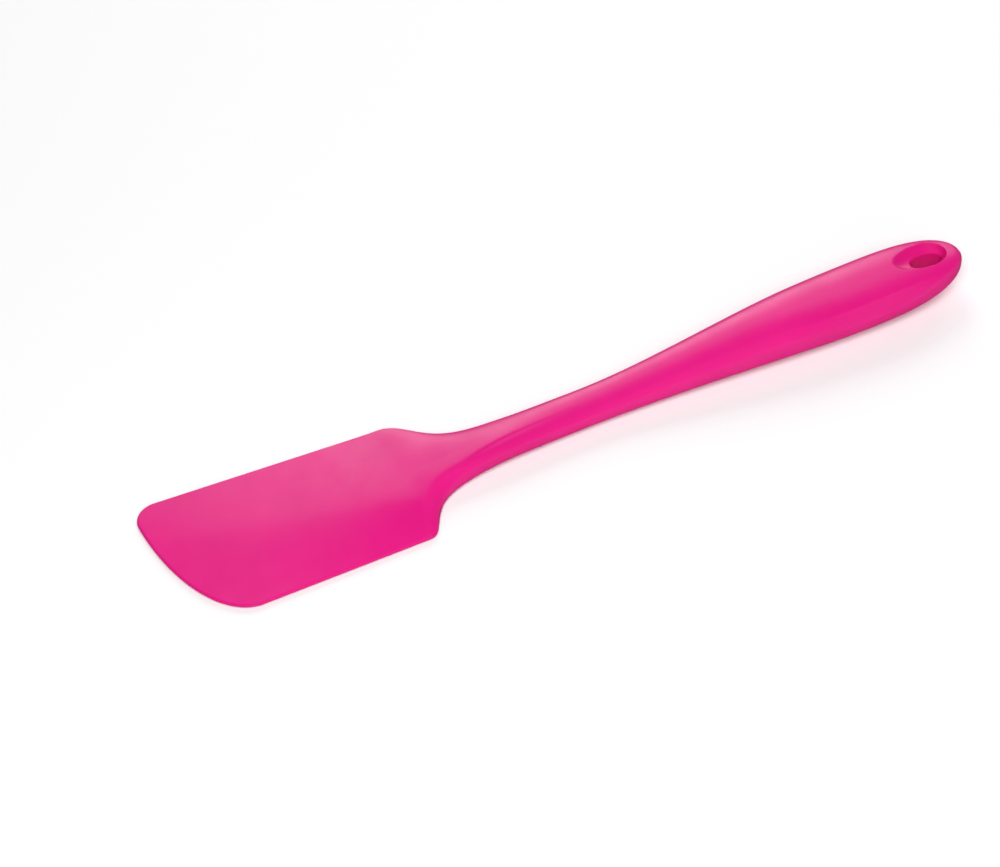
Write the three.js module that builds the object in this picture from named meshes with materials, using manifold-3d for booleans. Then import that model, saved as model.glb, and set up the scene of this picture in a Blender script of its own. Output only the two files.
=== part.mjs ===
import * as THREE from 'three';
import { mergeVertices } from 'three/addons/utils/BufferGeometryUtils.js';
import Module from 'manifold-3d';

// Silicone kitchen spatula, in millimetres: x runs from the blade's tip to the handle's end, z is up.

// Overall sizes
const LENGTH = 280;
const TIP_FAR = 29.9;
const ROOT_FAR = 24.8;
const TIP_NEAR = 24.3;
const ROOT_NEAR = 24.4;
const NECK_HALF = 6.2;
const GRIP_HALF = 12;

// Blade: swept tip, one rounded corner, a soft shoulder on each side
const TIP_SWEEP = 25;
const CORNER_RADIUS = 7.9;
const SHOULDER_FAR_X = 79.8;
const SHOULDER_FAR_RUN = 12.2;
const SHOULDER_FAR_POWER = 3;
const SHOULDER_FAR_EASE = 0;
const SHOULDER_NEAR_X = 78.5;
const SHOULDER_NEAR_RUN = 7.3;
const SHOULDER_NEAR_POWER = 5;
const SHOULDER_NEAR_EASE = 3.4;

// Thicknesses
const EDGE_THICK = 1.2;
const BLADE_CROWN = 2;
const CROWN_RUN = 45;
const NECK_THICK = 8.2;
const GRIP_THICK = 14.4;

// Ridge that runs from the neck into the blade
const RIDGE_START = 30;
const RIDGE_END = 118;
const RIDGE_POWER = 3;
const ROOT_BLEND_START = 72;
const ROOT_BLEND_END = 106;
const ROOT_LEAN = 1;
const ROOT_LEAN_END = 150;

// Handle: swell and rounded end
const SWELL_START = 141;
const END_LONG = 36.8;
const END_POWER = 2.9;
const END_RISE = 2.1;
const RISE_LONG = 55;
const NECK_POWER = 2.4;
const GRIP_POWER = 2.7;
const POWER_RUN = 60;

// Soft creases along the near flank of the neck and of the grip's end
const NECK_CREASE_START = 91;
const NECK_CREASE_END = 145;
const NECK_CREASE_RUN = 20;
const NECK_CREASE_DEPTH = 0.25;
const NECK_CREASE_SLIM_AT = 0.25;
const NECK_CREASE_SQUARE = 4;
const NECK_CREASE_INNER = 0.09;
const NECK_CREASE_OUTER = 0.3;
const END_CREASE_RUN = 15;
const END_CREASE_DEPTH = 0.4;
const END_CREASE_AT = 0.74;
const END_CREASE_INNER = 0.1;
const END_CREASE_OUTER = 0.1;

// Hanging hole: an oval slot at the bottom of an oval dish
const HOLE_FROM_END = 12.5;
const HOLE_LONG = 11.4;
const HOLE_WIDE = 5.8;
const DISH_FROM_END = 15;
const DISH_LONG = 19.4;
const DISH_WIDE = 10.4;
const DISH_DEPTH = 3.2;

// Inner pieces
const SKIN = 1.8;
const FIT_GAP = 0.2;
const PARTING_GAP = 0.2;
const CORE_START = 100;
const STRIP_START = 38;
const STRIP_END = 150;
const STRIP_THICK = 0.5;
const STRIP_BLADE_HALF = 9;
const STRIP_NECK_HALF = 2.8;
const STRIP_TAPER = 20;
const STRIP_WINDOWS = 2;
const STRIP_WINDOW_PITCH = 16;
const STRIP_WINDOW_R = 2.6;
const CORE_WINDOWS = 3;
const CORE_WINDOW_LONG = 10;
const CORE_WINDOW_WIDE = 5;

// Mesh fineness
const COLUMNS = 24;
const CORE_SIDES = 20;
const OVAL_SIDES = 28;

// Places along the length that follow from the sizes above
const END_START = LENGTH - END_LONG;
const RISE_START = LENGTH - RISE_LONG;
const HOLE_X = LENGTH - HOLE_FROM_END;
const DISH_X = LENGTH - DISH_FROM_END;
const FAR_AWAY = LENGTH;

const { lerp, clamp, smoothstep } = THREE.MathUtils;
const wasm = await Module();
wasm.setup();

// Outline in plan: side is 1 on the far edge and -1 on the near edge
function endCap(x) {
  const t = clamp((x - END_START) / END_LONG, 0, 1);
  return Math.sqrt(Math.max(1 - t ** END_POWER, 0));
}

function handleHalf(x) {
  return lerp(NECK_HALF, GRIP_HALF, smoothstep(x, SWELL_START, END_START)) * endCap(x);
}

function shoulder(past, power, ease) {
  return 1 / (1 + past ** power / (1 + past ** ease));
}

function outlineHalf(x, side) {
  const handle = handleHalf(x);
  if (side < 0) {
    const near = lerp(TIP_NEAR, ROOT_NEAR, clamp(x / SHOULDER_NEAR_X, 0, 1));
    const past = Math.max(x - SHOULDER_NEAR_X, 0) / SHOULDER_NEAR_RUN;
    return lerp(handle, near, shoulder(past, SHOULDER_NEAR_POWER, SHOULDER_NEAR_EASE));
  }
  const far = lerp(TIP_FAR, ROOT_FAR, clamp(x / SHOULDER_FAR_X, 0, 1));
  const past = Math.max(x - SHOULDER_FAR_X, 0) / SHOULDER_FAR_RUN;
  return lerp(handle, far, shoulder(past, SHOULDER_FAR_POWER, SHOULDER_FAR_EASE));
}

// Place of the tip's edge along the length, for a share of the blade's width on that side
function tipX(share) {
  const y = share * (share < 0 ? TIP_NEAR : TIP_FAR);
  const across = clamp((TIP_FAR - y) / (TIP_FAR + TIP_NEAR), 0, 1);
  const sweep = TIP_SWEEP * (1 - Math.sqrt(1 - across * across));
  const into = clamp(y - (TIP_FAR - CORNER_RADIUS), 0, CORNER_RADIUS);
  return sweep + CORNER_RADIUS - Math.sqrt(CORNER_RADIUS ** 2 - into ** 2);
}

// Heights along the centre line
function thickness(x) {
  const blade = EDGE_THICK + BLADE_CROWN;
  const root = smoothstep(x, RIDGE_START, RIDGE_END) ** 2;
  const grip = smoothstep(x, SWELL_START, RISE_START);
  return blade + (NECK_THICK - blade) * root + (GRIP_THICK - NECK_THICK) * grip;
}

function endRise(x) {
  return END_RISE * (Math.max(x - RISE_START, 0) / RISE_LONG) ** 2;
}

// Height of the mould's parting line before the end's rise
function partingLevel(x) {
  return lerp(EDGE_THICK / 2, thickness(x) / 2, smoothstep(x, SHOULDER_FAR_X, RIDGE_END));
}

function partingZ(x) {
  return partingLevel(x) + endRise(x);
}

// Sections are near ellipses at the neck and flat-sided ovals at the grip
function sectionPower(x) {
  return lerp(NECK_POWER, GRIP_POWER, smoothstep(x, END_START - POWER_RUN, END_START));
}

// Depth of a crease at a share of the half-width: it is steep inside its line and eases out beyond it
function groove(share, at, inner, outer) {
  const off = share - at;
  return Math.exp(-((off / (off < 0 ? inner : outer)) ** 2)) * (1 - share ** 8);
}

// Way along the neck's crease, from 0 at its start beside the shoulder
function creaseAlong(x) {
  return (x - NECK_CREASE_START) / NECK_CREASE_RUN;
}

function crease(x, share) {
  if (share > 0) return 0;
  const along = creaseAlong(x);
  const neckOut = smoothstep(x, NECK_CREASE_START + NECK_CREASE_RUN / 2, NECK_CREASE_END);
  const neck = NECK_CREASE_DEPTH * smoothstep(along, -0.2, 0.33) * (1 - neckOut);
  const neckAt = lerp(NECK_CREASE_SLIM_AT, 1, Math.exp(-along));
  const endIn = smoothstep(x, END_START - END_CREASE_RUN, END_START + END_CREASE_RUN);
  const end = END_CREASE_DEPTH * endIn * endCap(x);
  return (
    neck * groove(-share, neckAt, NECK_CREASE_INNER, NECK_CREASE_OUTER)
    + end * groove(-share, END_CREASE_AT, END_CREASE_INNER, END_CREASE_OUTER)
  );
}

// Squareness of the upper face's sections: the near flank is squarest where its crease starts
function topPower(x, side) {
  const power = lerp(RIDGE_POWER, sectionPower(x), smoothstep(x, ROOT_BLEND_START, ROOT_BLEND_END));
  const along = creaseAlong(x);
  const square = NECK_CREASE_SQUARE * smoothstep(along, -0.15, 0.3) * Math.exp(-Math.max(along, 0));
  return side < 0 ? power + square : power;
}

// The neck's upper face leans to the far side, so that its crest is near the crease
function rootLean(x, share) {
  const rising = smoothstep(x, ROOT_BLEND_START, NECK_CREASE_START);
  const falling = 1 - smoothstep(x, ROOT_BLEND_END, ROOT_LEAN_END);
  return -ROOT_LEAN * rising * falling * share * (1 - share ** 2);
}

// Upper and lower faces over the plan
function topZ(x, y) {
  const half = outlineHalf(x, Math.sign(y));
  const share = clamp(y / half, -1, 1);
  const neck = smoothstep(x, ROOT_BLEND_START, ROOT_BLEND_END);
  const crown = BLADE_CROWN * (1 - neck);
  const inset = clamp((x - tipX(share)) / CROWN_RUN, 0, 1);
  const power = topPower(x, Math.sign(y));
  const crest = (thickness(x) - partingLevel(x) - EDGE_THICK / 2 - crown) * endCap(x);
  const bladeTop = crown * (1 - share ** 2) * (1 - (1 - inset) ** 2);
  const ridgeTop = crest * (1 - Math.abs(share) ** power) ** lerp(1, 1 / power, neck);
  const level = partingZ(x) + EDGE_THICK / 2;
  return level + bladeTop + ridgeTop + rootLean(x, share) - crease(x, share);
}

function bottomZ(x, y) {
  const t = Math.min(Math.abs(y) / outlineHalf(x, Math.sign(y)), 1);
  const power = sectionPower(x);
  const keel = (partingLevel(x) - EDGE_THICK / 2) * endCap(x);
  return partingZ(x) - EDGE_THICK / 2 - keel * (1 - t ** power) ** (1 / power);
}

// Solids from rings of points: each ring's first half runs back along its second half
function loft(rings) {
  const n = rings[0].length;
  const index = [];
  const quad = (a, b, c, d) => index.push(a, b, c, a, c, d);
  for (let i = 0; i + 1 < rings.length; i += 1) {
    for (let k = 0; k < n; k += 1) {
      const next = (k + 1) % n;
      quad(i * n + k, i * n + next, (i + 1) * n + next, (i + 1) * n + k);
    }
  }
  const last = (rings.length - 1) * n;
  for (let k = 0; k + 1 < n / 2; k += 1) {
    quad(n - 1 - k, n - 2 - k, k + 1, k);
    quad(last + k, last + k + 1, last + n - 2 - k, last + n - 1 - k);
  }
  const geometry = new THREE.BufferGeometry().setFromPoints(rings.flat());
  geometry.setIndex(index);
  return solid(geometry);
}

function solid(geometry) {
  const bare = geometry.clone();
  bare.deleteAttribute('normal');
  bare.deleteAttribute('uv');
  const merged = mergeVertices(bare, 1e-4);
  const vertProperties = new Float32Array(merged.attributes.position.array);
  const triVerts = new Uint32Array(merged.index.array);
  let volume = 0;
  const corner = [0, 1, 2].map(() => new THREE.Vector3());
  for (let i = 0; i < triVerts.length; i += 3) {
    corner.forEach((v, k) => v.fromArray(vertProperties, triVerts[i + k] * 3));
    volume += corner[0].dot(corner[1].clone().cross(corner[2]));
  }
  if (volume < 0) triVerts.reverse();
  return new wasm.Manifold(new wasm.Mesh({ numProp: 3, vertProperties, triVerts }));
}

function steps(from, to, count) {
  return Array.from({ length: count + 1 }, (_, i) => lerp(from, to, i / count));
}

// Four-cornered ring across the length, from one height to another
function flatRing(x, half, first, second) {
  const corners = [[-half, first], [half, first], [half, second], [-half, second]];
  return corners.map(([y, z]) => new THREE.Vector3(x, y, z));
}

// Outer shape of the silicone
function outerSolid() {
  const across = steps(-1, 1, COLUMNS).map((t) => Math.sin((t * Math.PI) / 2));
  const sweepEnd = TIP_SWEEP + CORNER_RADIUS;
  const cap = steps(0.2, 0.985, 9).map((t) => END_START + END_LONG * Math.sin((t * Math.PI) / 2));
  const stations = [
    ...steps(0, sweepEnd, 5),
    ...steps(sweepEnd, SHOULDER_FAR_X, 6).slice(1),
    ...steps(SHOULDER_FAR_X, ROOT_BLEND_END, 16).slice(1),
    ...steps(ROOT_BLEND_END, SWELL_START, 5).slice(1),
    ...steps(SWELL_START, END_START, 9).slice(1),
    ...cap,
  ];
  const point = (station, v, face) => {
    const x = station < sweepEnd ? lerp(tipX(v), sweepEnd, station / sweepEnd) : station;
    const y = v * outlineHalf(x, Math.sign(v));
    return new THREE.Vector3(x, y, face(x, y));
  };
  const rings = stations.map((s) => [
    ...across.map((v) => point(s, v, topZ)),
    ...[...across].reverse().map((v) => point(s, v, bottomZ)),
  ]);
  return loft(rings);
}

// Upright oval prism that passes through everything, for the slot and the windows
function ovalPrism(x, long, wide) {
  const prism = new THREE.CylinderGeometry(1, 1, FAR_AWAY, OVAL_SIDES).rotateX(Math.PI / 2);
  return solid(prism.scale(long / 2, wide / 2, 1).translate(x, 0, 0));
}

function dishSolid(grow) {
  const top = topZ(DISH_X, 0);
  const ball = new THREE.SphereGeometry(1, OVAL_SIDES, OVAL_SIDES / 2).rotateX(Math.PI / 2);
  ball.scale(DISH_LONG / 2 + grow, DISH_WIDE / 2 + grow, DISH_DEPTH + grow);
  return solid(ball.translate(DISH_X, 0, top));
}

function hangingHole(grow) {
  const slot = ovalPrism(HOLE_X, HOLE_LONG + 2 * grow, HOLE_WIDE + 2 * grow);
  return slot.add(dishSolid(grow));
}

// Space above the mould's parting surface, or below it when up is -1
function partingSpace(up) {
  const xs = [
    -FAR_AWAY,
    ...steps(SHOULDER_FAR_X, RIDGE_END, 10),
    ...steps(RIDGE_END, LENGTH, 16).slice(1),
    LENGTH + FAR_AWAY,
  ];
  const rings = xs.map((x) => {
    const near = partingZ(clamp(x, 0, LENGTH)) + (up * PARTING_GAP) / 2;
    return flatRing(x, FAR_AWAY, near, up * FAR_AWAY);
  });
  return loft(rings);
}

// Nylon handle core, larger by grow on every face
function coreSolid(grow) {
  const end = LENGTH - SKIN + grow;
  const shape = (x, angle) => {
    const inset = SKIN - grow;
    const cap = Math.sqrt(1 - clamp((x - END_START) / (end - END_START), 0, 1) ** END_POWER);
    const half = (lerp(NECK_HALF, GRIP_HALF, smoothstep(x, SWELL_START, END_START)) - inset) * cap;
    const high = (thickness(x) / 2 - inset) * cap;
    return new THREE.Vector3(x, half * Math.cos(angle), partingZ(x) + high * Math.sin(angle));
  };
  const xs = [
    ...steps(CORE_START - grow, SWELL_START, 6),
    ...steps(SWELL_START, END_START, 7).slice(1),
    ...steps(0.2, 0.97, 6).map((t) => END_START + (end - END_START) * Math.sin((t * Math.PI) / 2)),
  ];
  const angles = steps(0, 2 * Math.PI, CORE_SIDES).slice(1).map((a) => a - Math.PI / CORE_SIDES);
  let body = loft(xs.map((x) => angles.map((a) => shape(x, a))));
  for (let i = 1; i <= CORE_WINDOWS; i += 1) {
    const x = lerp(SWELL_START, END_START, i / (CORE_WINDOWS + 1));
    body = body.subtract(ovalPrism(x, CORE_WINDOW_LONG - 2 * grow, CORE_WINDOW_WIDE - 2 * grow));
  }
  return body.subtract(hangingHole(SKIN - grow));
}

// Spring steel strip from the blade into the neck, larger by grow on every face
function stripSolid(grow) {
  const taperEnd = CORE_START - 4;
  const xs = [
    STRIP_START - grow,
    ...steps(STRIP_START + 6, taperEnd - STRIP_TAPER, 4),
    ...steps(taperEnd - STRIP_TAPER, taperEnd, 4).slice(1),
    ...steps(taperEnd, STRIP_END + grow, 6).slice(1),
  ];
  const rings = xs.map((x) => {
    const wide = lerp(STRIP_BLADE_HALF, STRIP_NECK_HALF, smoothstep(x, taperEnd - STRIP_TAPER, taperEnd));
    const half = wide + grow;
    return flatRing(x, half, partingZ(x) + STRIP_THICK + grow, partingZ(x) - grow);
  });
  let body = loft(rings);
  const window = 2 * (STRIP_WINDOW_R - grow);
  for (let i = 1; i <= STRIP_WINDOWS; i += 1) {
    body = body.subtract(ovalPrism(STRIP_START + i * STRIP_WINDOW_PITCH, window, window));
  }
  return body;
}

const outer = outerSolid().subtract(hangingHole(0));
const innerSpace = coreSolid(FIT_GAP).add(stripSolid(FIT_GAP));
const shell = outer.subtract(innerSpace);

// Assembly
const group = new THREE.Group();
group.name = 'spatula';

function addPiece(name, body, look) {
  const { vertProperties, triVerts } = body.getMesh();
  const geometry = new THREE.BufferGeometry();
  geometry.setAttribute('position', new THREE.BufferAttribute(new Float32Array(vertProperties), 3));
  geometry.setIndex(new THREE.BufferAttribute(new Uint32Array(triVerts), 1));
  const mesh = new THREE.Mesh(geometry, new THREE.MeshStandardMaterial(look));
  mesh.name = name;
  group.add(mesh);
}

const silicone = { color: 0xe71e83, roughness: 0.45, metalness: 0 };
const nylon = { color: 0x3a3a3e, roughness: 0.65, metalness: 0 };
const springSteel = { color: 0xb9bdc2, roughness: 0.35, metalness: 1 };
addPiece('skin_upper', shell.intersect(partingSpace(1)), silicone);
addPiece('skin_lower', shell.intersect(partingSpace(-1)), silicone);
addPiece('core_handle', coreSolid(0).subtract(stripSolid(FIT_GAP)), nylon);
addPiece('core_strip', stripSolid(0), springSteel);

// The origin is at the middle of the footprint, on the surface that the spatula lies on
const box = new THREE.Box3().setFromObject(group);
const middle = box.getCenter(new THREE.Vector3());
for (const mesh of group.children) {
  mesh.geometry.translate(-middle.x, -middle.y, -box.min.z);
  mesh.geometry.computeVertexNormals();
}

export default group;
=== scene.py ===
import math
from collections import namedtuple

import bmesh
import bpy
from mathutils import Matrix, Vector


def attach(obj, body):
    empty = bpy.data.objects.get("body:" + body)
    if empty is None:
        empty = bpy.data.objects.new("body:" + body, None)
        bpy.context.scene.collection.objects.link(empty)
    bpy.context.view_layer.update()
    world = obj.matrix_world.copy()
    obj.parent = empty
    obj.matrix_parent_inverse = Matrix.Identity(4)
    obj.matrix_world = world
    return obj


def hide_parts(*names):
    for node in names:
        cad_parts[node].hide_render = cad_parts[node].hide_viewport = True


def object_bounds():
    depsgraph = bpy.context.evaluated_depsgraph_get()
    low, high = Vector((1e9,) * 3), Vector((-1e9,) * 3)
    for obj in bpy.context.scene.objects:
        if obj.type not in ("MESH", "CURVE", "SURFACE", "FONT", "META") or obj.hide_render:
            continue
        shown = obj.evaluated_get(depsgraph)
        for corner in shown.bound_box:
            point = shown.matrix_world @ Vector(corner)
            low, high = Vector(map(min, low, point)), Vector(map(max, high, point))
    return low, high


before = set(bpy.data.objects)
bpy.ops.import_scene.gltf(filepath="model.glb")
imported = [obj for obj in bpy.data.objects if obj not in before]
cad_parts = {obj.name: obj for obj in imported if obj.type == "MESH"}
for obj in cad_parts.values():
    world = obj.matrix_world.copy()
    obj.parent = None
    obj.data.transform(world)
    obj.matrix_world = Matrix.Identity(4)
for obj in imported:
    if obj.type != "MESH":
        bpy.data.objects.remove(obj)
cad_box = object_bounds()

# Sizes of the silicone skin are in millimetres, x from the blade's tip and y from the handle's axis.
# The far side (+y) has the blade's pointed corner, and the near side (-y) faces the camera.
# A share is a part of the half-width on its side, from -1 at the near edge to 1 at the far edge.
MM_PER_M = 1000
LENGTH = 280.0

# The part's own origin in these sizes
ORIGIN_X = 140.16
ORIGIN_Y = 2.495

# Outline of the blade: half-widths, and the swept tip with its pointed far corner
TIP_FAR = 29.9
ROOT_FAR = 24.8
TIP_NEAR = 24.3
ROOT_NEAR = 24.4
TIP_SWEEP = 25.0
CORNER_RADIUS = 7.9
SWEEP_END = TIP_SWEEP + CORNER_RADIUS

# Shoulders of the blade: where it starts to narrow, over what run, how sharply, and how far that eases off
Shoulder = namedtuple("Shoulder", "start run power ease")
SHOULDER_FAR = Shoulder(start=79.8, run=12.2, power=3.0, ease=0.0)
SHOULDER_NEAR = Shoulder(start=78.5, run=7.3, power=5.0, ease=3.4)

# Outline of the neck and the handle
NECK_HALF = 6.2
GRIP_HALF = 12.0
SWELL_START = 141.0
END_LONG = 36.8
END_POWER = 2.9
END_START = LENGTH - END_LONG

# Thickness, the ridge from the blade up to the neck, and the rise of the handle's end
EDGE_THICK = 1.2
NECK_THICK = 8.2
GRIP_THICK = 14.4
RIDGE_START = 22.0
RIDGE_END = 118.0
RIDGE_POWER = 1.65
END_RISE = 2.1
RISE_LONG = 55.0
RISE_START = LENGTH - RISE_LONG

# Section of the blade: a low roof, with a rounder crest on the near side
BLADE_CROWN = 1.15
CROWN_RUN = 45.0
ROOF_FAR = 0.18
ROOF_NEAR = 0.8

# Share at which the crest lies, from the tip to the root, and where it comes back to the middle
CREST_TIP = 0.25
CREST_ROOT = -0.55
CREST_TIP_X = 15.0
CREST_ROOT_X = 95.0
CREST_FADE = 90.0
CREST_END = 145.0

# Section of the neck and the handle: an oval, with a flatter far face at the neck
BLEND_START = 72.0
BLEND_END = 106.0
NECK_POWER = 2.4
GRIP_POWER = 2.7
POWER_RUN = 60.0
FACET = 0.6

# Soft crease along the near flank of the neck
NECK_CREASE_START = 91.0
NECK_CREASE_END = 145.0
NECK_CREASE_RUN = 20.0
NECK_CREASE_RISE = (-0.2, 0.33)
NECK_CREASE_DEPTH = 0.25
NECK_CREASE_SLIM_AT = 0.25
NECK_CREASE_INNER = 0.09
NECK_CREASE_OUTER = 0.3
NECK_CREASE_EDGE_POWER = 8

# Flat near flank of the handle's end
FLANK_AT = 0.81
FLANK_SLOPE = 2.4
FLANK_SQUARE = 0.6
FLANK_START = 205.0
FLANK_FULL = 242.0
FLANK_FADE = 252.0
FLANK_END = 271.0

# Hanging hole, the dish round it, measured from the hole's middle, and the rounded lip
HOLE_X = 267.5
HOLE_LONG = 11.4
HOLE_WIDE = 5.8
HOLE_REGION = 2 * HOLE_LONG
DISH_LEFT = 12.2
DISH_RIGHT = 7.2
DISH_FAR = 5.8
DISH_NEAR = 5.2
DISH_DEPTH = 2.6
DISH_POWER = 1.2
LIP_RADIUS = 0.6

# Prism that cuts the hole
CUTTER_SIDES = 160
CUTTER_LOW = -20.0
CUTTER_TALL = 60.0

# Rows and columns of the skin's grid; the root's closer rows start a little before the shoulder
COLUMNS = 120
TIP_ROWS = 30
TIP_ROW_POWER = 2
BLADE_ROWS = 16
ROOT_ROWS = 70
ROOT_LEAD = 4
NECK_ROWS = 24
GRIP_ROWS = 36
END_ROWS = 150
SLOPE_STEP = 0.001
TINY = 1e-6
SHARP_ANGLE = math.radians(25)

# Floor, in metres: half its side, and how far it lies below the part
FLOOR_HALF = 6
FLOOR_GAP = 0.0003

# Lights, in metres and watts
Panel = namedtuple("Panel", "name place target size power mirrored")
PANELS = (
    Panel("back_panel", (0.34, 1.13, 0.63), (0.03, 0, 0), (0.62, 0.8), 6.8, True),
    Panel("side_panel", (0.95, 0.8, 0.5), (0.12, 0, 0), (0.45, 0.7), 2.4, True),
    Panel("fill_panel", (-0.18, -0.75, 1.3), (0, 0, 0), (1.2, 1.2), 23.2, False),
    Panel("front_panel", (-0.4, -1.4, 0.4), (0, 0, 0), (1.6, 0.7), 3.5, False),
)
WORLD_STRENGTH = 0.08

# Camera at the photograph's viewing angle, with its place in the skin's sizes
CAMERA_PLACE = (-78.297, -557.502, 662.294)
CAMERA_RIGHT = (0.91122, -0.4049, -0.07575)
CAMERA_UP = (0.34879, 0.66057, 0.66483)
SENSOR_WIDTH = 36
LENS = 100.8


def clamp(t, low=0.0, high=1.0):
    return max(low, min(high, t))


def lerp(a, b, t):
    return a + (b - a) * t


def smoothstep(x, low, high):
    t = clamp((x - low) / (high - low))
    return t * t * (3 - 2 * t)


def spread(low, high, count, power=1.0):
    return [low + (high - low) * (i / count) ** power for i in range(count + 1)]


def metres(x, y, z):
    """Place in the part's own frame."""
    return (x - ORIGIN_X) / MM_PER_M, (y - ORIGIN_Y) / MM_PER_M, z / MM_PER_M


def oval(share, power):
    """Height of an oval section, from 1 in the middle to 0 at the edge."""
    return max(1 - abs(share) ** power, 0.0) ** (1 / power)


def quarter_round(d, radius):
    """Height, from 0 to 1, of a quarter circle at distance d from its foot."""
    t = 1 - clamp(d / radius)
    return math.sqrt(max(1 - t * t, 0.0))


def end_cap(x):
    """Rounding of the handle's end, from 1 before it to 0 at the very end."""
    t = clamp((x - END_START) / END_LONG)
    return math.sqrt(max(1 - t ** END_POWER, 0.0))


def blade_share(x, place):
    """Share of the blade in the outline, from 1 before its shoulder to 0 at the neck."""
    past = max(x - place.start, 0) / place.run
    return 1 / (1 + past ** place.power / (1 + past ** place.ease))


def outline_half(x, side):
    """Half-width of the outline, on the near side where side is negative."""
    handle = lerp(NECK_HALF, GRIP_HALF, smoothstep(x, SWELL_START, END_START)) * end_cap(x)
    if side < 0:
        blade = lerp(TIP_NEAR, ROOT_NEAR, clamp(x / SHOULDER_NEAR.start))
        return lerp(handle, blade, blade_share(x, SHOULDER_NEAR))
    blade = lerp(TIP_FAR, ROOT_FAR, clamp(x / SHOULDER_FAR.start))
    return lerp(handle, blade, blade_share(x, SHOULDER_FAR))


def tip_x(share):
    """Place of the tip's edge."""
    y = share * (TIP_NEAR if share < 0 else TIP_FAR)
    across = clamp((TIP_FAR - y) / (TIP_FAR + TIP_NEAR))
    sweep = TIP_SWEEP * (1 - math.sqrt(1 - across * across))
    into = clamp(y - (TIP_FAR - CORNER_RADIUS), 0, CORNER_RADIUS)
    return sweep + CORNER_RADIUS - math.sqrt(CORNER_RADIUS ** 2 - into ** 2)


def thickness(x):
    blade = EDGE_THICK + BLADE_CROWN
    root = smoothstep(x, RIDGE_START, RIDGE_END) ** RIDGE_POWER
    grip = smoothstep(x, SWELL_START, RISE_START)
    return blade + (NECK_THICK - blade) * root + (GRIP_THICK - NECK_THICK) * grip


def end_rise(x):
    return END_RISE * (max(x - RISE_START, 0) / RISE_LONG) ** 2


def parting_level(x):
    """Height of the widest line of the section, before the end's rise."""
    return lerp(EDGE_THICK / 2, thickness(x) / 2, smoothstep(x, SHOULDER_FAR.start, RIDGE_END))


def parting_z(x):
    return parting_level(x) + end_rise(x)


def edge_half(x, share, half):
    """Half thickness that the rounded edge of the blade leaves."""
    ahead = tip_x(min(share + SLOPE_STEP, 1))
    behind = tip_x(max(share - SLOPE_STEP, -1))
    slope = (ahead - behind) / (2 * SLOPE_STEP * half)
    inside = min((1 - abs(share)) * half, (x - tip_x(share)) / math.hypot(1, slope))
    return EDGE_THICK / 2 * quarter_round(inside, EDGE_THICK / 2)


def section_power(x):
    return lerp(NECK_POWER, GRIP_POWER, smoothstep(x, END_START - POWER_RUN, END_START))


def roof(share):
    """Height of a roof with a rounded crest, from 1 at the crest to 0 at the edge."""
    rounding = ROOF_NEAR if share < 0 else ROOF_FAR
    edge = math.hypot(1, rounding)
    return (edge - math.hypot(share, rounding)) / (edge - rounding)


def from_crest(x, share):
    """Share counted from the crest, which lies off centre at the blade's root."""
    at = lerp(CREST_TIP, CREST_ROOT, (x - CREST_TIP_X) / (CREST_ROOT_X - CREST_TIP_X))
    at *= 1 - smoothstep(x, CREST_FADE, CREST_END)
    return (share - at) / (1 - at if share > at else 1 + at)


def crease(x, share):
    """Depth of the soft crease along the near flank of the neck."""
    if share > 0:
        return 0.0
    along = (x - NECK_CREASE_START) / NECK_CREASE_RUN
    fade = 1 - smoothstep(x, NECK_CREASE_START + NECK_CREASE_RUN / 2, NECK_CREASE_END)
    depth = NECK_CREASE_DEPTH * smoothstep(along, *NECK_CREASE_RISE) * fade
    off = -share - lerp(NECK_CREASE_SLIM_AT, 1, math.exp(-along))
    width = NECK_CREASE_INNER if off < 0 else NECK_CREASE_OUTER
    profile = math.exp(-(off / width) ** 2) * (1 - share ** NECK_CREASE_EDGE_POWER)
    return depth * profile


def flank_share(x):
    """How far the flat flank is there, from 0 to 1 along the handle's end."""
    return smoothstep(x, FLANK_START, FLANK_FULL) * (1 - smoothstep(x, FLANK_FADE, FLANK_END))


def flank_cut(x, share, half, crest, power):
    """Depth that the flat near flank of the handle's end takes off its oval section."""
    past = -share - FLANK_AT
    if past < 0:
        return 0.0
    flank = crest * oval(FLANK_AT, power) - FLANK_SLOPE * past * half
    cut = max(crest * oval(share, power) - max(flank, 0.0), 0.0)
    return cut * flank_share(x)


def hole_place(x, y):
    """Distance outside the hole's wall, and share of the way from there to the dish's rim."""
    dx, dy = x - HOLE_X, y
    reach = math.hypot(dx, dy)
    if reach < TINY:
        return -HOLE_WIDE / 2, -1.0
    cx, cy = dx / reach, dy / reach
    wall = 1 / math.hypot(cx / (HOLE_LONG / 2), cy / (HOLE_WIDE / 2))
    dish_long = DISH_LEFT if dx < 0 else DISH_RIGHT
    dish_wide = DISH_NEAR if dy < 0 else DISH_FAR
    rim = 1 / math.hypot(cx / dish_long, cy / dish_wide)
    return reach - wall, (reach - wall) / (rim - wall)


def lip_drop(outside):
    return LIP_RADIUS * (1 - quarter_round(max(outside, 0.0), LIP_RADIUS))


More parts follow.
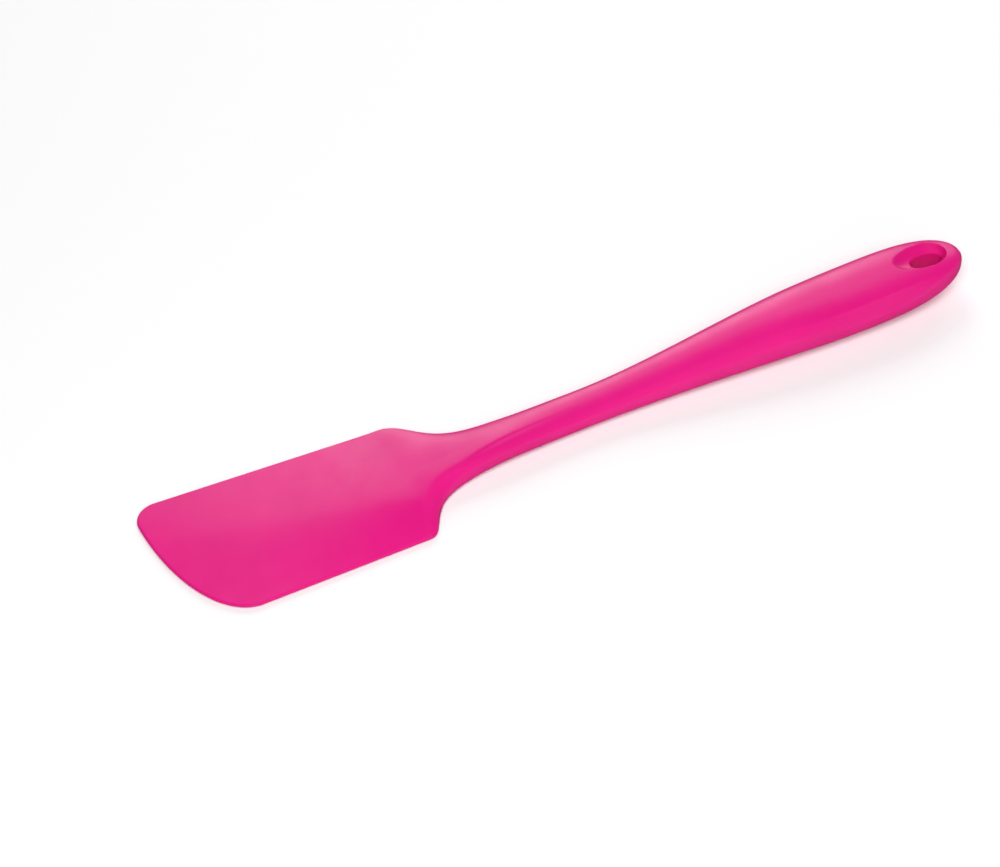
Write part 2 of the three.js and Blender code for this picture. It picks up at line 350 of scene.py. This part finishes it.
def top_z(x, y, edge):
    half = max(outline_half(x, y), TINY)
    share = clamp(y / half, -1.0, 1.0)
    neck = smoothstep(x, BLEND_START, BLEND_END)
    crown = BLADE_CROWN * (1 - neck)
    inset = clamp((x - tip_x(share)) / CROWN_RUN)
    off = from_crest(x, share)
    facet = FACET * smoothstep(x, BLEND_START, CREST_ROOT_X) * (1 - smoothstep(x, BLEND_END, CREST_END))
    power = section_power(x) + (FLANK_SQUARE * flank_share(x) if off < 0 else -facet)
    crest = (thickness(x) - parting_level(x) - EDGE_THICK / 2 - crown) * end_cap(x)
    blade_top = crown * roof(off) * (1 - (1 - inset) ** 2)
    ridge_top = crest * lerp(roof(off), oval(off, power), neck)
    z = parting_z(x) + edge + blade_top + ridge_top
    z = z - crease(x, share) - flank_cut(x, share, half, crest, power)
    if abs(x - HOLE_X) < HOLE_REGION:
        outside, to_rim = hole_place(x, y)
        if to_rim < 1:
            z -= DISH_DEPTH * (1 - max(to_rim, 0.0) ** 2) ** DISH_POWER
        z -= lip_drop(outside)
    return z


def bottom_z(x, y, edge):
    share = min(abs(y) / max(outline_half(x, y), TINY), 1.0)
    keel = (parting_level(x) - EDGE_THICK / 2) * end_cap(x)
    z = parting_z(x) - edge - keel * oval(share, section_power(x))
    if abs(x - HOLE_X) < HOLE_REGION:
        outside, _ = hole_place(x, y)
        z += lip_drop(outside)
    return z


def grid_stations():
    """Places of the grid's rows along the length, closer where the surface turns more."""
    root_start = SHOULDER_FAR.start - ROOT_LEAD
    stations = spread(0, SWEEP_END, TIP_ROWS, TIP_ROW_POWER)
    stations += spread(SWEEP_END, root_start, BLADE_ROWS)[1:]
    stations += spread(root_start, BLEND_END, ROOT_ROWS)[1:]
    stations += spread(BLEND_END, SWELL_START, NECK_ROWS)[1:]
    stations += spread(SWELL_START, END_START, GRIP_ROWS)[1:]
    angles = [math.pi / 2 * i / END_ROWS for i in range(1, END_ROWS)]
    return stations + [END_START + END_LONG * math.sin(a) for a in angles]


def skin_rows(mesh):
    """Rows of the upper and the lower sheet's points, which are the same ones along the edge."""
    across = [math.sin(math.pi / 2 * (2 * j / COLUMNS - 1)) for j in range(COLUMNS + 1)]
    rows = []
    for station in grid_stations():
        top, bottom = [], []
        for j, share in enumerate(across):
            x = station
            if station < SWEEP_END:
                x = lerp(tip_x(share), SWEEP_END, station / SWEEP_END)
            half = outline_half(x, share)
            y = share * half
            edge = edge_half(x, share, half)
            high = mesh.verts.new(metres(x, y, top_z(x, y, edge)))
            low = high
            if station > 0 and 0 < j < COLUMNS:
                low = mesh.verts.new(metres(x, y, bottom_z(x, y, edge)))
            top.append(high)
            bottom.append(low)
        rows.append((top, bottom))
    return rows


def finished(mesh, name):
    """Mesh data of that name, with the normals pointing out."""
    bmesh.ops.recalc_face_normals(mesh, faces=mesh.faces)
    data = bpy.data.meshes.new(name)
    mesh.to_mesh(data)
    mesh.free()
    return data


def skin_mesh():
    """Closed silicone surface: an upper and a lower sheet over one grid that meet at the edge."""
    mesh = bmesh.new()
    rows = skin_rows(mesh)
    end = mesh.verts.new(metres(LENGTH, 0, parting_z(LENGTH)))
    for (top_a, bottom_a), (top_b, bottom_b) in zip(rows, rows[1:]):
        for j in range(COLUMNS):
            mesh.faces.new((top_a[j], top_b[j], top_b[j + 1], top_a[j + 1]))
            low = [bottom_a[j], bottom_a[j + 1], bottom_b[j + 1], bottom_b[j]]
            mesh.faces.new(list(dict.fromkeys(low)))
    top, bottom = rows[-1]
    for j in range(COLUMNS):
        mesh.faces.new((top[j], end, top[j + 1]))
        mesh.faces.new((bottom[j], bottom[j + 1], end))
    return finished(mesh, "silicone_skin")


def slot_cutter():
    """Oval prism through the handle, for the hanging hole."""
    mesh = bmesh.new()
    ring = []
    for i in range(CUTTER_SIDES):
        a = 2 * math.pi * i / CUTTER_SIDES
        x = HOLE_X + HOLE_LONG / 2 * math.cos(a)
        y = HOLE_WIDE / 2 * math.sin(a)
        ring.append(mesh.verts.new(metres(x, y, CUTTER_LOW)))
    face = mesh.faces.new(ring)
    raised = bmesh.ops.extrude_face_region(mesh, geom=[face])["geom"]
    upper = [g for g in raised if isinstance(g, bmesh.types.BMVert)]
    bmesh.ops.translate(mesh, vec=(0, 0, CUTTER_TALL / MM_PER_M), verts=upper)
    return finished(mesh, "slot_cutter")


def add_object(name, data):
    obj = bpy.data.objects.new(name, data)
    bpy.context.scene.collection.objects.link(obj)
    return obj


def cut_skin():
    """The skin as an object, with the hanging hole cut through it."""
    skin = add_object("silicone_skin", skin_mesh())
    cutter = add_object("slot_cutter", slot_cutter())
    cut = skin.modifiers.new("slot", "BOOLEAN")
    cut.operation = "DIFFERENCE"
    cut.solver = "EXACT"
    cut.object = cutter
    data = bpy.data.meshes.new_from_object(skin.evaluated_get(bpy.context.evaluated_depsgraph_get()))
    skin.modifiers.clear()
    skin.data = data
    data.name = "silicone_skin"
    bpy.data.objects.remove(cutter)
    for polygon in data.polygons:
        polygon.use_smooth = True
    data.set_sharp_from_angle(angle=SHARP_ANGLE)
    return skin


class Nodes:
    """Short names for building a material's node tree."""

    def __init__(self, name):
        self.material = bpy.data.materials.new(name)
        self.material.use_nodes = True
        self.tree = self.material.node_tree
        self.shader = self.tree.nodes["Principled BSDF"]

    def add(self, kind, inputs=None, **settings):
        node = self.tree.nodes.new(kind)
        for key, value in settings.items():
            setattr(node, key, value)
        for key, value in (inputs or {}).items():
            self.put(node.inputs[key], value)
        return node

    def put(self, socket, value):
        if isinstance(value, bpy.types.NodeSocket):
            self.tree.links.new(value, socket)
        else:
            socket.default_value = value

    def set(self, **inputs):
        for key, value in inputs.items():
            self.put(self.shader.inputs[key.replace("_", " ")], value)

    def noise(self, scale, detail):
        place = self.add("ShaderNodeTexCoord").outputs["Object"]
        inputs = {"Vector": place, "Scale": scale, "Detail": detail, "Roughness": 0.5}
        return self.add("ShaderNodeTexNoise", inputs).outputs["Fac"]

    def ramp(self, fac, low, high, first, second):
        inputs = {"Value": fac, "From Min": low, "From Max": high, "To Min": first, "To Max": second}
        return self.add("ShaderNodeMapRange", inputs).outputs["Result"]

    def two_colours(self, fac, first, second):
        """Mix of two colours; the node's colour sockets are known by number, as their names repeat."""
        node = self.add("ShaderNodeMix", data_type="RGBA")
        self.put(node.inputs[0], fac)
        self.put(node.inputs[6], (*first, 1))
        self.put(node.inputs[7], (*second, 1))
        return node.outputs[2]

    def bump(self, height, strength, distance):
        inputs = {"Height": height, "Strength": strength, "Distance": distance}
        return self.add("ShaderNodeBump", inputs).outputs["Normal"]


def silicone():
    n = Nodes("pink_silicone")
    cloud = n.ramp(n.noise(45, 4), 0.35, 0.65, 0, 1)
    n.set(Base_Color=n.two_colours(cloud, (0.745, 0.0075, 0.213), (0.785, 0.0100, 0.228)))
    n.set(Roughness=n.ramp(n.noise(160, 4), 0.3, 0.7, 0.33, 0.41))
    n.set(Normal=n.bump(n.noise(2600, 2), 0.12, 0.0002))
    n.set(Subsurface_Weight=0.08, Subsurface_Radius=(0.9, 0.12, 0.35), Subsurface_Scale=0.0025)
    n.set(IOR=1.42)
    return n.material


def nylon():
    n = Nodes("grey_nylon")
    n.set(Base_Color=n.two_colours(n.noise(120, 4), (0.035, 0.035, 0.039), (0.052, 0.052, 0.058)))
    n.set(Roughness=n.ramp(n.noise(400, 3), 0.3, 0.7, 0.55, 0.7))
    n.set(Normal=n.bump(n.noise(1800, 3), 0.2, 0.0002))
    return n.material


def spring_steel():
    n = Nodes("rolled_spring_steel")
    place = n.add("ShaderNodeTexCoord").outputs["Object"]
    stretched = n.add("ShaderNodeMapping", {"Vector": place, "Scale": (20, 2500, 400)}).outputs["Vector"]
    grain = n.add("ShaderNodeTexNoise", {"Vector": stretched, "Scale": 1.0, "Detail": 4.0}).outputs["Fac"]
    n.set(Base_Color=n.two_colours(grain, (0.44, 0.46, 0.49), (0.56, 0.58, 0.60)), Metallic=1.0)
    n.set(Roughness=n.ramp(grain, 0.3, 0.7, 0.25, 0.42))
    n.set(Normal=n.bump(grain, 0.1, 0.0001))
    return n.material


def white():
    n = Nodes("white_floor")
    n.set(Base_Color=(0.98, 0.98, 0.98, 1), Roughness=0.9, Specular_IOR_Level=0.1)
    return n.material


def paint(obj, material):
    obj.data.materials.clear()
    obj.data.materials.append(material)


def area_light(panel):
    light = bpy.data.lights.new(panel.name, "AREA")
    light.shape = "RECTANGLE"
    light.size, light.size_y = panel.size
    light.energy = panel.power
    obj = add_object(panel.name, light)
    obj.location = panel.place
    aim = Vector(panel.target) - Vector(panel.place)
    obj.rotation_euler = aim.to_track_quat("-Z", "Y").to_euler()
    obj.visible_glossy = panel.mirrored


# The object
skin = cut_skin()
paint(skin, silicone())
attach(skin, "root")
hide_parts("skin_upper", "skin_lower")
paint(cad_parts["core_handle"], nylon())
paint(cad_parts["core_strip"], spring_steel())

# White floor
corners = [(-FLOOR_HALF, -FLOOR_HALF, 0), (FLOOR_HALF, -FLOOR_HALF, 0)]
corners += [(FLOOR_HALF, FLOOR_HALF, 0), (-FLOOR_HALF, FLOOR_HALF, 0)]
floor_data = bpy.data.meshes.new("floor")
floor_data.from_pydata(corners, [], [(0, 1, 2, 3)])
floor = add_object("floor", floor_data)
floor.location.z = cad_box[0][2] - FLOOR_GAP
paint(floor, white())
floor.visible_glossy = False

# Soft studio light: panels behind, which the surface mirrors, and even light from the camera's side
for panel in PANELS:
    area_light(panel)
world = bpy.data.worlds.new("studio")
world.use_nodes = True
world.node_tree.nodes["Background"].inputs["Color"].default_value = (1, 1, 1, 1)
world.node_tree.nodes["Background"].inputs["Strength"].default_value = WORLD_STRENGTH
bpy.context.scene.world = world
bpy.context.scene.view_settings.view_transform = "Standard"

# Camera
right = Vector(CAMERA_RIGHT).normalized()
up = Vector(CAMERA_UP)
up = (up - right * up.dot(right)).normalized()
turn = Matrix((right, up, right.cross(up))).transposed()
camera_data = bpy.data.cameras.new("camera")
camera_data.sensor_fit = "HORIZONTAL"
camera_data.sensor_width = SENSOR_WIDTH
camera_data.lens = LENS
camera = add_object("camera", camera_data)
camera.matrix_world = Matrix.Translation(metres(*CAMERA_PLACE)) @ turn.to_4x4()
bpy.context.scene.camera = camera
